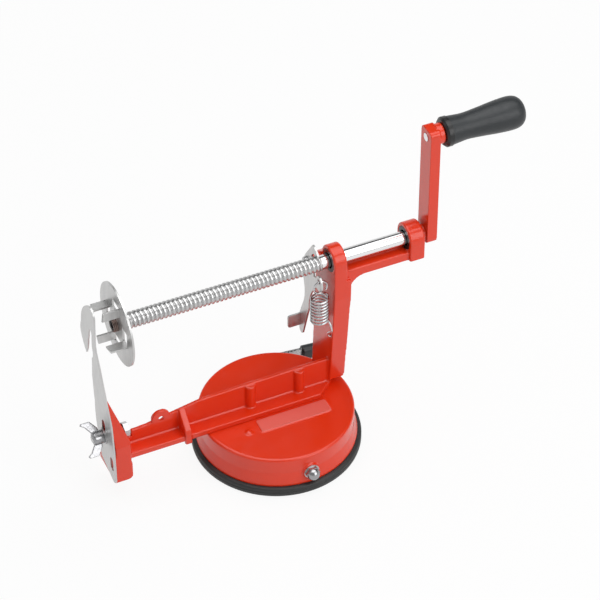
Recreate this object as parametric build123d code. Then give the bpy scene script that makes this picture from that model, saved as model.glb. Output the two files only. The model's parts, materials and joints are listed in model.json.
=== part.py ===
from build123d import *
import math
import os

# Hand cranked spiral potato cutter on a suction base.
# +X runs along the feed shaft from the blade to the crank, +Y to the rear, +Z up.
# The origin is the centre of the suction base's underside. All sizes are in millimetres.

os.makedirs("parts", exist_ok=True)

# Fits and clearances
SNUG = 0.02             # radial gap of pieces fixed in one another
RUNNING = 0.06          # radial gap of a turning or sliding fit
CLEAR = 0.35            # gap between pieces that pass one another
HOLE_CLEAR = 0.3        # radial gap round a screw or bolt shank
SEAM = 0.3              # gap between a soft or curved face and its seat

# Suction base
PAD_RADIUS = 65.0
PAD_RIM_HEIGHT = 8.4
PAD_RIM_WIDTH = 9.0
PAD_RIM_ROUND = 2.2
PAD_SKIN = 2.4
PAD_SKIN_LIFT = 0.0
DRUM_RADIUS = 59.5
DRUM_TOP = 33.3
DRUM_WALL = 3.4
DRUM_EDGE_ROUND = 2.0
DRUM_FLANGE_RADIUS = 61.8
DRUM_FLANGE_TOP = 12.0
DRUM_FLARE_START = 20.0
PANEL_X = (-21.0, 36.0)
PANEL_Y = (-22.6, -9.6)
PANEL_RAISE = 0.6
DOME_X = -30.4
DOME_Y = -18.4
DOME_RADIUS = 3.2
DOME_RAISE = 1.4

# Clamping lever and its cam
AXLE_X = 1.5
AXLE_Z = 18.5
AXLE_RADIUS = 3.0
AXLE_BOSS_RADIUS = 6.6
AXLE_BOSS_REACH = 61.2
CAM_RADIUS = 5.4
CAM_THROW = 2.0
CAM_WIDTH = 9.0
LEVER_THICKNESS = 2.4
LEVER_WIDTH = 9.0
LEVER_REACH = 80.5
LEVER_GAP = 1.2
LEVER_DIP = 5.5         # degrees below level at rest
LEVER_GRIP_LENGTH = 32.5
LEVER_GRIP_HEIGHT = 12.0
LEVER_GRIP_DEPTH = 8.0
LEVER_GRIP_ROUND = 3.2
ACORN_FLATS = 10.0
ACORN_HEX_LENGTH = 2.6
ACORN_DOME_RADIUS = 4.9
AXLE_WASHER_RADIUS = 6.0
AXLE_WASHER_THICKNESS = 0.8

# Pull stem that lifts the middle of the pad
STEM_PLATE_RADIUS = 21.0
STEM_PLATE_THICKNESS = 2.4
STEM_LENGTH_X = 21.0
STEM_LENGTH_Y = 10.0
STEM_TOP = 25.2
STEM_TRAVEL = 4.0
STEM_WINDOW_MARGIN = 0.65
GUIDE_RIB_THICKNESS = 2.5
GUIDE_RIB_BOTTOM = 12.5

# Feed shaft
AXIS_Y = 6.0
AXIS_Z = 157.5
TUBE_RADIUS = 5.4
TUBE_BORE_RADIUS = 4.1
TUBE_START_X = -125.3
THREAD_PITCH = 3.35
THREAD_TURNS = 46
THREAD_STEPS = 8
THREAD_END_X = 38.7
THREAD_MEAN_RADIUS = 5.75
THREAD_DEPTH = 0.5
THREAD_CREST = THREAD_MEAN_RADIUS + THREAD_DEPTH

# Fork disc
DISC_FRONT_X = -121.5
DISC_THICKNESS = 1.5
DISC_RADIUS = 31.8
PRONG_LENGTH = 13.2
PRONG_OFFSET = 6.7
PRONG_INNER = 12.4
PRONG_OUTER = 19.8
PRONG_BEVEL = 1.0
PRONG_COUNT = 4
SLOT_MARGIN = 0.5

# Frame casting
POST_X = 45.5
RING_RADIUS = 11.8
RING_EDGE_ROUND = 1.2
RING_THICKNESS = 10.2
RING_BORE_RADIUS = 9.0
REAR_RING_X = 107.1
REAR_RING_THICKNESS = 12.0
BRIDGE_Y = (-3.0, 13.0)
BRIDGE_TOP_DROP = 7.7
BRIDGE_BOTTOM_DROP = 15.1
BRIDGE_TOP = AXIS_Z - BRIDGE_TOP_DROP
BRIDGE_BOTTOM = AXIS_Z - BRIDGE_BOTTOM_DROP
BRIDGE_FILLET = 12.0
POST_BOTTOM_THICKNESS = 12.4
POST_TOP_THICKNESS = 13.6
POST_NEAR_Y = (2.0, -5.8)
POST_REAR_Y = (34.0, 28.0)
POST_FOOT_ROUND = 7.0
POST_SHOULDER_Z = 126.0
POST_WALL = 4.5
POST_POCKET_Z = (47.0, 118.0)
WEB_Y = (4.0, 7.0)
WEB_LEFT_TOP = 49.5
WEB_RIGHT_TOP = 60.2
WEB_RAMP_X = (-104.0, -58.0)
WEB_NOTCH_X = -115.5
WEB_NOTCH_Z = 44.0
WEB_POST_FILLET = 2.4
FLANGE_THICKNESS = 4.8
FLANGE_NEAR_Y = -7.5
FLANGE_END_X = 34.0
RIB_X = (-77.5, -72.5)
RIB_TOP = 56.5
RIB_FOOT_Z = 30.0
RIB_NEAR_Y = -9.5
SCREW_BOSS_X = (-19.4, 20.6)
SCREW_BOSS_RADIUS = 4.0
EAR_X = -91.5
EAR_Z = 52.5
EAR_RADIUS = 7.5
EAR_HOLE_RADIUS = 2.2

# Blade mounting block at the left end of the frame
BLOCK_FACE_X = -135.0
BLOCK_THICKNESS = 13.5
BLOCK_Y = (-10.0, 22.0)
BLOCK_BOTTOM = 15.0
BLOCK_SHOULDER_Z = 53.5
BLOCK_APEX_Z = 89.0
BLOCK_APEX_Y = (2.5, 9.5)
BLOCK_TIP_THICKNESS = 1.6
BLOCK_CORNER_ROUND = 4.0
BLOCK_TAPER_Z = 50.0
BLOCK_TOE_Z = 31.0
BLOCK_TOE_EXTRA = 0.8
RELIEF_DEPTH = 1.4
RELIEF_Z = (41.0, 58.0)
RELIEF_Y = -3.0

# Blade and its clamp
BLADE_THICKNESS = 1.2
BLADE_BEND_Z = 74.0
BLADE_HEAD_DROP = 12.5
BLADE_REACH = 5.5
BLADE_HEAD_RISE = 25.5
BLADE_BLANK_WIDTH = 80.0
SLIT_END_RADIUS = 2.65
KEY_HOLE_RADIUS = 3.0
KEY_HOLE_Y = -13.2
KEY_HOLE_Z = (-21.0, -14.5)
BLADE_TRAVEL = 12.0
BOLT_Y = 6.0
BOLT_Z = 51.5
BOLT_RADIUS = 2.95
BOLT_TIP_X = -146.2
BOLT_HEAD_FLATS = 10.0
BOLT_HEAD_THICKNESS = 4.0
CLAMP_WASHER_RADIUS = 6.4
CLAMP_WASHER_THICKNESS = 1.2
WING_HUB_RADIUS = 5.2
WING_HUB_LENGTH = 8.0
WING_REACH = 13.2
WING_FORWARD = 6.6
WING_HEIGHT = 7.5
WING_THICKNESS = 2.6
WING_ANGLE = 47.0

# Thread catch
CATCH_X = 36.0
CATCH_THICKNESS = 1.4
CATCH_PIVOT_Y = 21.0
CATCH_PIVOT_Z = 148.0
CATCH_BOSS_RADIUS = 5.2
CATCH_GAP = 0.25
PIVOT_RADIUS = 2.5
PIVOT_HEAD_RADIUS = 4.4
PIVOT_HEAD_THICKNESS = 2.4
PIVOT_DEPTH = 8.0
TOOTH_HALF_ANGLE = 20.0
TOOTH_CLEAR = 0.35
HOOK_CLEAR = 1.6
SPRING_HOLE_Y = 0.6
SPRING_HOLE_RADIUS = 2.3
TAB_LENGTH = 10.0
TAB_Z = (74.5, 86.0)

# Catch spring
WIRE_RADIUS = 0.8
COIL_RADIUS = 6.4
COIL_TURNS = 8.0
COIL_PITCH = 2.96
COIL_BOTTOM_Z = 105.6
COIL_Y = 0.4
RING_LOOP_RADIUS = 5.5
RING_LOOP_X = 36.8
RING_LOOP_Z = 138.6
RING_LOOP_TURN = 310.0
ANCHOR_Y = 0.0
ANCHOR_Z = 87.5
TAIL_BOW = (43.4, -5.4, 98.5)
ANCHOR_HOLE_RADIUS = 1.25
ANCHOR_HOLE_DEPTH = 6.0
ANCHOR_BEND = 2.4

# Crank
CRANK_X = 122.5
CRANK_THICKNESS = 8.0
CRANK_WIDTH = 16.0
CRANK_RADIUS = 90.0
CRANK_END_ROUND = 6.3
CRANK_TOP_REACH = 6.9
CRANK_HUB_RADIUS = 6.3
CRANK_HUB_GAP = 0.7
GRIP_BOSS_RADIUS = 7.8
GRIP_BOSS_LENGTH = 4.2
GRIP_PIN_RADIUS = 3.2
GRIP_PIN_HEAD_RADIUS = 5.2
GRIP_PIN_HEAD_THICKNESS = 2.2
GRIP_COLLAR_THICKNESS = 5.0
GRIP_COLLAR_RADIUS = 11.4
GRIP_LENGTH = 60.0
GRIP_START_RADIUS = 11.0
GRIP_WAIST_RADIUS = 9.9
GRIP_BULB_RADIUS = 12.6
GRIP_CAVITY_DEPTH = 8.0

# Frame screws
SCREW_RADIUS = 2.0
SCREW_LENGTH = 16.0
SCREW_HEAD_RADIUS = 4.0
SCREW_HEAD_THICKNESS = 2.6


def box(x, y, z):
    """Box between pairs of limits along X, Y and Z."""
    size = [abs(b - a) for a, b in (x, y, z)]
    centre = [(a + b) / 2 for a, b in (x, y, z)]
    return Pos(*centre) * Box(*size)


def rod_x(radius, x0, x1, y, z):
    """Cylinder along X."""
    return Pos((x0 + x1) / 2, y, z) * Rot(0, 90, 0) * Cylinder(radius, abs(x1 - x0))


def rod_y(radius, y0, y1, x, z):
    """Cylinder along Y."""
    return Pos(x, (y0 + y1) / 2, z) * Rot(90, 0, 0) * Cylinder(radius, abs(y1 - y0))


def rod_z(radius, z0, z1, x, y):
    """Cylinder along Z."""
    return Pos(x, y, (z0 + z1) / 2) * Cylinder(radius, abs(z1 - z0))


def prism_x(points, x0, x1):
    """Straight-sided outline in Y and Z, carried from x0 to x1."""
    face = make_face(Polyline(*[(0, y, z) for y, z in points], close=True))
    return extrude(Pos(x0, 0, 0) * face, amount=x1 - x0, dir=(1, 0, 0))


def prism_y(points, y0, y1):
    """Straight-sided outline in X and Z, carried from y0 to y1."""
    face = make_face(Polyline(*[(x, 0, z) for x, z in points], close=True))
    return extrude(Pos(0, y0, 0) * face, amount=y1 - y0, dir=(0, 1, 0))


def prism_z(points, z0, z1):
    """Straight-sided outline in X and Y, carried from z0 to z1."""
    face = make_face(Polyline(*[(x, y, 0) for x, y in points], close=True))
    return extrude(Pos(0, 0, z0) * face, amount=z1 - z0, dir=(0, 0, 1))


def turned(points):
    """Solid of revolution about Z from an outline of radius and height."""
    face = make_face(Polyline(*[(r, 0, z) for r, z in points], close=True))
    return revolve(face, Axis.Z, 360)


def from_axis(y, z):
    """Point in Y and Z, counted from the feed shaft's axis."""
    return AXIS_Y + y, AXIS_Z + z


def from_bolt(y, z):
    """Point in Y and Z, counted from the blade's bolt."""
    return BOLT_Y + y, BOLT_Z + z


def save(node, shape):
    """Write one node and report its solids."""
    export_step(shape, "parts/" + node + ".step")
    print(node, len(shape.solids()), round(shape.volume, 1))


# --- Suction base ---------------------------------------------------------

def suction_pad():
    """Rubber pad: a thick rim under the drum's flange and a thin skin across it."""
    rim_inner = PAD_RADIUS - PAD_RIM_WIDTH
    skin_top = PAD_SKIN_LIFT + PAD_SKIN
    ring = turned([
        (rim_inner, 0), (PAD_RADIUS, 0), (PAD_RADIUS, PAD_RIM_HEIGHT), (rim_inner, PAD_RIM_HEIGHT),
    ])
    outer = [edge for edge in ring.edges().filter_by(GeomType.CIRCLE) if edge.radius > PAD_RADIUS - 0.1]
    ring = fillet(outer, PAD_RIM_ROUND)
    skin = rod_z(rim_inner + 0.5, PAD_SKIN_LIFT, skin_top, 0, 0)
    return ring + skin


def drum():
    """Cast drum with a flared foot, a closed top and guides for the axle and the stem."""
    foot = PAD_RIM_HEIGHT
    outline = [
        (0, foot), (DRUM_FLANGE_RADIUS, foot), (DRUM_FLANGE_RADIUS, DRUM_FLANGE_TOP - 1.2),
        (DRUM_FLANGE_RADIUS - 0.5, DRUM_FLANGE_TOP), (DRUM_RADIUS, DRUM_FLARE_START),
        (DRUM_RADIUS, DRUM_TOP), (0, DRUM_TOP),
    ]
    body = turned(outline)
    rim = [edge for edge in body.edges().filter_by(GeomType.CIRCLE)
           if abs(edge.center().Z - DRUM_TOP) < 0.01]
    body = fillet(rim, DRUM_EDGE_ROUND)
    inner = DRUM_RADIUS - DRUM_WALL
    body -= rod_z(inner, foot - 1, DRUM_TOP - DRUM_WALL, 0, 0)
    body += drum_guides()
    body += drum_top_details()
    for near, far in ((-AXLE_BOSS_REACH, -inner + 1), (inner - 1, AXLE_BOSS_REACH)):
        body += rod_y(AXLE_BOSS_RADIUS, near, far, AXLE_X, AXLE_Z) - rod_z(inner, 0, DRUM_TOP, 0, 0)
    body -= rod_y(AXLE_RADIUS + RUNNING, -AXLE_BOSS_REACH - 1, AXLE_BOSS_REACH + 1, AXLE_X, AXLE_Z)
    for x in SCREW_BOSS_X:
        body -= rod_z(SCREW_RADIUS + HOLE_CLEAR, 0, DRUM_TOP + 1, x, screw_y())
    return body


def screw_y():
    """Line of the two frame screws, in the web's bosses."""
    return (WEB_Y[0] + WEB_Y[1]) / 2 - 1


def drum_guides():
    """Two ribs under the top that carry the middle of the axle and guide the stem."""
    ribs = Part()
    for side in (-1, 1):
        inner = side * (STEM_LENGTH_Y / 2 + CLEAR)
        outer = inner + side * GUIDE_RIB_THICKNESS
        half = STEM_LENGTH_X / 2 + CLEAR + GUIDE_RIB_THICKNESS
        top = DRUM_TOP - DRUM_WALL / 2
        ribs += box((AXLE_X - half, AXLE_X + half), (inner, outer), (GUIDE_RIB_BOTTOM, top))
    return ribs


def drum_top_details():
    """Bare raised panel and a small dome on the drum's top."""
    z = (DRUM_TOP - 1, DRUM_TOP + PANEL_RAISE)
    panel = box(PANEL_X, PANEL_Y, z)
    panel = fillet(panel.edges().filter_by(Axis.Z), 1.5)
    sphere_radius = (DOME_RADIUS ** 2 + DOME_RAISE ** 2) / (2 * DOME_RAISE)
    ball = Pos(DOME_X, DOME_Y, DRUM_TOP + DOME_RAISE - sphere_radius) * Sphere(sphere_radius)
    wide = 2 * DOME_RADIUS
    cap = ball & box((DOME_X - wide, DOME_X + wide), (DOME_Y - wide, DOME_Y + wide),
                     (DRUM_TOP - 1, DRUM_TOP + DOME_RAISE + 1))
    return panel + cap


def pull_stem():
    """Plate on the pad's middle with a yoke that the cam lifts."""
    plate_bottom = PAD_SKIN_LIFT + PAD_SKIN + SEAM
    plate_top = plate_bottom + STEM_PLATE_THICKNESS
    plate = rod_z(STEM_PLATE_RADIUS, plate_bottom, plate_top, AXLE_X, 0)
    half_x = STEM_LENGTH_X / 2
    half_y = STEM_LENGTH_Y / 2
    yoke = box((AXLE_X - half_x, AXLE_X + half_x), (-half_y, half_y), (plate_top - 0.5, STEM_TOP))
    centre = AXLE_Z - CAM_THROW
    reach = CAM_RADIUS + STEM_WINDOW_MARGIN
    side = CAM_RADIUS + CAM_THROW + CLEAR
    window = box((AXLE_X - side, AXLE_X + side), (-half_y - 1, half_y + 1), (centre - reach, centre + reach))
    return plate + yoke - window


# --- Clamping lever ------------------------------------------------------

def lever_inner_y():
    """Near face of the lever, just outside the rear axle boss."""
    return AXLE_BOSS_REACH + LEVER_GAP


def cam_axle():
    """Axle through the drum with the cam in its middle and a riveted rear end."""
    near = -AXLE_BOSS_REACH - AXLE_WASHER_THICKNESS - ACORN_HEX_LENGTH
    far = lever_inner_y() + LEVER_THICKNESS + 1.0
    shaft = rod_y(AXLE_RADIUS, near, far, AXLE_X, AXLE_Z)
    cam = rod_y(CAM_RADIUS, -CAM_WIDTH / 2, CAM_WIDTH / 2, AXLE_X, AXLE_Z - CAM_THROW)
    collar = rod_y(AXLE_RADIUS + 2, AXLE_BOSS_REACH + 0.1, lever_inner_y(), AXLE_X, AXLE_Z)
    return shaft + cam + collar


def lever_arm():
    """Flat steel lever behind the drum."""
    y0 = lever_inner_y()
    y1 = y0 + LEVER_THICKNESS
    half = LEVER_WIDTH / 2
    bar = box((AXLE_X, LEVER_REACH), (y0, y1), (AXLE_Z - half, AXLE_Z + half))
    bar += rod_y(half + 2, y0, y1, AXLE_X, AXLE_Z)
    return dipped(bar - rod_y(AXLE_RADIUS + SNUG, y0 - 1, y1 + 1, AXLE_X, AXLE_Z))


def dipped(shape):
    """Turn a level piece of the lever about its axle to its place at rest."""
    return Pos(AXLE_X, 0, AXLE_Z) * Rot(0, LEVER_DIP, 0) * Pos(-AXLE_X, 0, -AXLE_Z) * shape


def lever_grip():
    """Plastic sleeve over the lever's free end."""
    y_mid = lever_inner_y() + LEVER_THICKNESS / 2
    x1 = LEVER_REACH + 2.5
    x0 = x1 - LEVER_GRIP_LENGTH
    half_z = LEVER_GRIP_HEIGHT / 2
    half_y = LEVER_GRIP_DEPTH / 2
    body = box((x0, x1), (y_mid - half_y, y_mid + half_y), (AXLE_Z - half_z, AXLE_Z + half_z))
    body = fillet(body.edges().filter_by(Axis.X), LEVER_GRIP_ROUND)
    socket_y = LEVER_THICKNESS / 2 + SNUG
    socket_z = LEVER_WIDTH / 2 + SNUG
    socket = box((x0 - 1, LEVER_REACH + SNUG), (y_mid - socket_y, y_mid + socket_y),
                 (AXLE_Z - socket_z, AXLE_Z + socket_z))
    return dipped(body - socket)


def axle_nut():
    """Acorn nut on the axle's front end."""
    y0 = -AXLE_BOSS_REACH - AXLE_WASHER_THICKNESS
    y1 = y0 - ACORN_HEX_LENGTH
    face = Plane(origin=(AXLE_X, y0, AXLE_Z), x_dir=(1, 0, 0), z_dir=(0, -1, 0))
    hexagon = face * RegularPolygon(ACORN_FLATS / math.sqrt(3), 6)
    nut = extrude(hexagon, amount=ACORN_HEX_LENGTH, dir=(0, -1, 0))
    ball = Pos(AXLE_X, y1, AXLE_Z) * Sphere(ACORN_DOME_RADIUS)
    nut += ball & box((AXLE_X - 8, AXLE_X + 8), (y1 - 8, y1 + 1), (AXLE_Z - 8, AXLE_Z + 8))
    return nut - rod_y(AXLE_RADIUS + SNUG, y0 + 1, y1, AXLE_X, AXLE_Z)


def axle_washer():
    """Washer between the acorn nut and the front boss."""
    y0 = -AXLE_BOSS_REACH - 0.1
    y1 = -AXLE_BOSS_REACH - AXLE_WASHER_THICKNESS
    ring = rod_y(AXLE_WASHER_RADIUS, y1, y0, AXLE_X, AXLE_Z)
    return ring - rod_y(AXLE_RADIUS + SNUG, y1 - 1, y0 + 1, AXLE_X, AXLE_Z)


# --- Frame casting -------------------------------------------------------

def bearing_ring(x0, thickness, bottom):
    """Bearing eye with a round arch over straight sides, down to its bottom."""
    near, far = AXIS_Y - RING_RADIUS, AXIS_Y + RING_RADIUS
    outline = [
        Line((near, bottom), (near, AXIS_Z)),
        ThreePointArc((near, AXIS_Z), (AXIS_Y, AXIS_Z + RING_RADIUS), (far, AXIS_Z)),
        Line((far, AXIS_Z), (far, bottom)),
        Line((far, bottom), (near, bottom)),
    ]
    face = make_face(Plane.YZ * Curve(outline))
    ring = extrude(Pos(x0, 0, 0) * face, amount=thickness, dir=(1, 0, 0))
    rims = [edge for edge in ring.edges().filter_by(GeomType.CIRCLE) if edge.center().Z > AXIS_Z - 1]
    return fillet(rims, RING_EDGE_ROUND)


def post():
    """Tapered upright that carries the front bearing and the bridge."""
    near_low, near_high = POST_NEAR_Y
    rear_low, rear_high = POST_REAR_Y
    foot = DRUM_TOP
    side_view = [
        (near_low + POST_FOOT_ROUND * 0.8, foot), (rear_low, foot), (rear_high, POST_SHOULDER_Z),
        (rear_high, CATCH_PIVOT_Z + 2), (AXIS_Y + RING_RADIUS, AXIS_Z), (near_high, AXIS_Z),
        (near_high, POST_SHOULDER_Z), (near_low, foot + POST_FOOT_ROUND),
    ]
    right_low = POST_X + POST_BOTTOM_THICKNESS
    right_high = POST_X + POST_TOP_THICKNESS
    ring_right = POST_X + RING_THICKNESS
    front_view = [
        (POST_X, foot), (right_low - POST_FOOT_ROUND * 0.8, foot),
        (right_low - POST_FOOT_ROUND * 0.25, foot + POST_FOOT_ROUND * 0.5),
        (right_low, foot + POST_FOOT_ROUND * 1.4), (right_high, BRIDGE_BOTTOM),
        (ring_right, BRIDGE_BOTTOM), (ring_right, AXIS_Z), (POST_X, AXIS_Z),
    ]
    body = prism_x(side_view, POST_X, right_high) & prism_y(front_view, near_high - 1, rear_low + 1)
    pocket = box((POST_X + POST_WALL, right_high + 1),
                 (near_low + POST_WALL, rear_high - POST_WALL), POST_POCKET_Z)
    pocket = fillet(pocket.edges().filter_by(Axis.X), 3)
    return body - pocket


def bridge():
    """Bar under the shaft between the two bearing rings."""
    start = POST_X + RING_THICKNESS - 2
    corner_x = POST_X + POST_TOP_THICKNESS
    corner_z = BRIDGE_BOTTOM
    arc = []
    for step in range(7):
        angle = math.radians(90 * step / 6)
        arc.append((corner_x + BRIDGE_FILLET * (1 - math.cos(angle)),
                    corner_z - BRIDGE_FILLET * (1 - math.sin(angle))))
    outline = [(start, BRIDGE_TOP), (start, corner_z - BRIDGE_FILLET)] + arc
    outline += [(REAR_RING_X + 1, BRIDGE_BOTTOM), (REAR_RING_X + 1, BRIDGE_TOP)]
    return prism_y(outline, *BRIDGE_Y)


def beam():
    """Web and flange from the blade block, over the drum, to the post."""
    left = BLOCK_FACE_X + BLOCK_THICKNESS - 1
    web = prism_y([
        (left, DRUM_TOP), (POST_X + 1, DRUM_TOP), (POST_X + 1, WEB_RIGHT_TOP),
        (WEB_RAMP_X[1], WEB_RIGHT_TOP - 1.5), (WEB_RAMP_X[0], WEB_LEFT_TOP + 0.6),
        (WEB_NOTCH_X, WEB_LEFT_TOP), (WEB_NOTCH_X, WEB_NOTCH_Z), (left, WEB_NOTCH_Z),
    ], *WEB_Y)
    ear = rod_y(EAR_RADIUS, WEB_Y[0], WEB_Y[1], EAR_X, EAR_Z)
    flange = prism_z([
        (left, FLANGE_NEAR_Y), (FLANGE_END_X, FLANGE_NEAR_Y), (POST_X - 5, FLANGE_NEAR_Y + 6),
        (POST_X + 1, POST_NEAR_Y[0] + 1), (POST_X + 1, WEB_Y[1]), (left, WEB_Y[1]),
    ], DRUM_TOP, DRUM_TOP + FLANGE_THICKNESS)
    body = web + ear + flange
    for x in SCREW_BOSS_X:
        body += rod_z(SCREW_BOSS_RADIUS, DRUM_TOP, WEB_RIGHT_TOP - 1.6, x, WEB_Y[0])
    return body


def web_gusset():
    """Curved corner between the web's near face and the post."""
    size = WEB_POST_FILLET
    low = DRUM_TOP + FLANGE_THICKNESS - 1
    block = box((POST_X - size, POST_X + 1), (WEB_Y[0] - size, WEB_Y[0] + 1), (low, WEB_RIGHT_TOP))
    return block - rod_z(size, low - 1, WEB_RIGHT_TOP + 1, POST_X - size, WEB_Y[0] - size)


def cross_rib():
    """Rib across the beam at the drum's left edge, with a foot below the flange."""
    y_far = WEB_Y[0] + 1
    outline = [
        (y_far, DRUM_TOP), (FLANGE_NEAR_Y + 1.5, DRUM_TOP), (FLANGE_NEAR_Y + 1, RIB_FOOT_Z),
        (RIB_NEAR_Y, RIB_FOOT_Z + 1.5), (RIB_NEAR_Y, RIB_FOOT_Z + 11), (RIB_NEAR_Y + 1.5, RIB_FOOT_Z + 14.5),
        (WEB_Y[0], RIB_TOP), (y_far, RIB_TOP),
    ]
    return prism_x(outline, *RIB_X)


def blade_block():
    """Block that the blade is clamped to, with a tapering crest above the bolt."""
    back = BLOCK_FACE_X + BLOCK_THICKNESS
    near, far = BLOCK_Y
    side_view = [
        (near, BLOCK_BOTTOM), (far, BLOCK_BOTTOM), (far, BLOCK_TAPER_Z), (BLOCK_APEX_Y[1], BLOCK_APEX_Z),
        (BLOCK_APEX_Y[0], BLOCK_APEX_Z), (near, BLOCK_TAPER_Z),
    ]
    front_view = [
        (BLOCK_FACE_X, BLOCK_BOTTOM), (back, BLOCK_BOTTOM), (back, BLOCK_SHOULDER_Z),
        (BLOCK_FACE_X + BLOCK_TIP_THICKNESS, BLOCK_APEX_Z), (BLOCK_FACE_X, BLOCK_APEX_Z),
    ]
    body = prism_x(side_view, BLOCK_FACE_X, back) & prism_y(front_view, near - 1, far + 1)
    toe = box((back - 2, back + BLOCK_TOE_EXTRA), BLOCK_Y, (BLOCK_BOTTOM, BLOCK_TOE_Z))
    body += toe
    right = back + BLOCK_TOE_EXTRA
    low = [edge for edge in body.edges().filter_by(Axis.Y)
           if abs(edge.center().X - right) < 0.1 and edge.center().Z < BLOCK_BOTTOM + 1]
    body = fillet(low, BLOCK_CORNER_ROUND)
    relief = box((BLOCK_FACE_X - 1, BLOCK_FACE_X + RELIEF_DEPTH), (near - 1, RELIEF_Y), RELIEF_Z)
    return body - relief


def catch_boss():
    """Boss on the post that the catch turns on."""
    x0 = CATCH_X + CATCH_THICKNESS / 2 + CATCH_GAP
    return rod_x(CATCH_BOSS_RADIUS, x0, POST_X + 1, CATCH_PIVOT_Y, CATCH_PIVOT_Z)


def frame_casting():
    """One aluminium casting: block, beam, rib, post, bearing rings and bridge."""
    body = beam() + web_gusset() + cross_rib() + blade_block()
    body += post()
    body += bearing_ring(POST_X, RING_THICKNESS, BRIDGE_BOTTOM)
    body += bridge()
    body += bearing_ring(REAR_RING_X, REAR_RING_THICKNESS, BRIDGE_BOTTOM)
    body += catch_boss()
    body -= rod_x(RING_BORE_RADIUS, POST_X - 1, POST_X + RING_THICKNESS + 1, AXIS_Y, AXIS_Z)
    body -= rod_x(RING_BORE_RADIUS, REAR_RING_X - 1, REAR_RING_X + REAR_RING_THICKNESS + 1, AXIS_Y, AXIS_Z)
    body -= rod_x(PIVOT_RADIUS + SNUG, CATCH_X, POST_X + PIVOT_DEPTH + 0.5, CATCH_PIVOT_Y, CATCH_PIVOT_Z)
    body -= rod_x(ANCHOR_HOLE_RADIUS, POST_X - 1, POST_X + ANCHOR_HOLE_DEPTH, ANCHOR_Y, ANCHOR_Z)
    body -= rod_y(EAR_HOLE_RADIUS, WEB_Y[0] - 1, WEB_Y[1] + 1, EAR_X, EAR_Z)
    body -= rod_x(BOLT_RADIUS + SNUG, BLOCK_FACE_X - 1, BLOCK_FACE_X + BLOCK_THICKNESS + 1, BOLT_Y, BOLT_Z)
    hole_top = DRUM_TOP + SCREW_LENGTH - DRUM_WALL + 1
    for x in SCREW_BOSS_X:
        body -= rod_z(SCREW_RADIUS + SNUG, DRUM_TOP - 1, hole_top, x, screw_y())
    return body


def frame_screws():
    """Two screws from under the drum's top into the web bosses."""
    screws = Part()
    head_top = DRUM_TOP - DRUM_WALL
    y = screw_y()
    for x in SCREW_BOSS_X:
        screws += rod_z(SCREW_RADIUS, head_top - 0.5, head_top + SCREW_LENGTH, x, y)
        screws += rod_z(SCREW_HEAD_RADIUS, head_top - SCREW_HEAD_THICKNESS, head_top, x, y)
    return screws


# --- Feed shaft ----------------------------------------------------------

def thread():
    """Rolled right-hand thread: a round section carried along a fine helix."""
    count = THREAD_TURNS * THREAD_STEPS
    start = THREAD_END_X - THREAD_TURNS * THREAD_PITCH
    groove_phase = 2 * math.pi * (CATCH_X - start) / THREAD_PITCH
    sections = []
    for step in range(count + 1):
        turn = 2 * math.pi * step / THREAD_STEPS - groove_phase - math.pi / 2
        origin = (start + step * THREAD_PITCH / THREAD_STEPS,
                  AXIS_Y + THREAD_DEPTH * math.cos(turn),
                  AXIS_Z + THREAD_DEPTH * math.sin(turn))
        sections.append(Plane(origin=origin, x_dir=(0, 1, 0), z_dir=(1, 0, 0)) * Circle(THREAD_MEAN_RADIUS))
    return loft(sections, ruled=True)


def feed_tube():
    """Chromed tube, open at both ends, with the rolled thread on its left part."""
    start = THREAD_END_X - THREAD_TURNS * THREAD_PITCH
    end = CRANK_X + CRANK_THICKNESS
    left = rod_x(TUBE_RADIUS, TUBE_START_X, start + 0.5, AXIS_Y, AXIS_Z)
    right = rod_x(TUBE_RADIUS, THREAD_END_X - 0.5, end, AXIS_Y, AXIS_Z)
    bore = rod_x(TUBE_BORE_RADIUS, TUBE_START_X - 1, end + 1, AXIS_Y, AXIS_Z)
    return thread() + left + right - bore


def fork_disc():
    """Pressed disc with four prongs bent forward out of their slots."""
    front = DISC_FRONT_X
    back = front + DISC_THICKNESS
    tip = front - PRONG_LENGTH
    half = DISC_THICKNESS / 2
    slot = box((front - 1, back + 1), (PRONG_INNER - SLOT_MARGIN, PRONG_OUTER + SLOT_MARGIN),
               (PRONG_OFFSET + half, PRONG_OFFSET - PRONG_LENGTH))
    outline = [
        (back, PRONG_INNER), (tip, PRONG_INNER), (tip + PRONG_BEVEL, PRONG_OUTER), (back, PRONG_OUTER),
    ]
    prong = prism_z(outline, PRONG_OFFSET - half, PRONG_OFFSET + half)
    disc = rod_x(DISC_RADIUS, front, back, 0, 0) - rod_x(TUBE_RADIUS + SNUG, front - 1, back + 1, 0, 0)
    turns = [Rot(360 * step / PRONG_COUNT, 0, 0) for step in range(PRONG_COUNT)]
    for turn in turns:
        disc -= turn * slot
    for turn in turns:
        disc += turn * prong
    return Pos(0, AXIS_Y, AXIS_Z) * disc


def bush(x0, thickness):
    """Black liner in a bearing ring, whose bore passes the thread."""
    outer = rod_x(RING_BORE_RADIUS - RUNNING, x0, x0 + thickness, AXIS_Y, AXIS_Z)
    return outer - rod_x(THREAD_CREST + RUNNING, x0 - 1, x0 + thickness + 1, AXIS_Y, AXIS_Z)


# --- Crank ---------------------------------------------------------------

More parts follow.
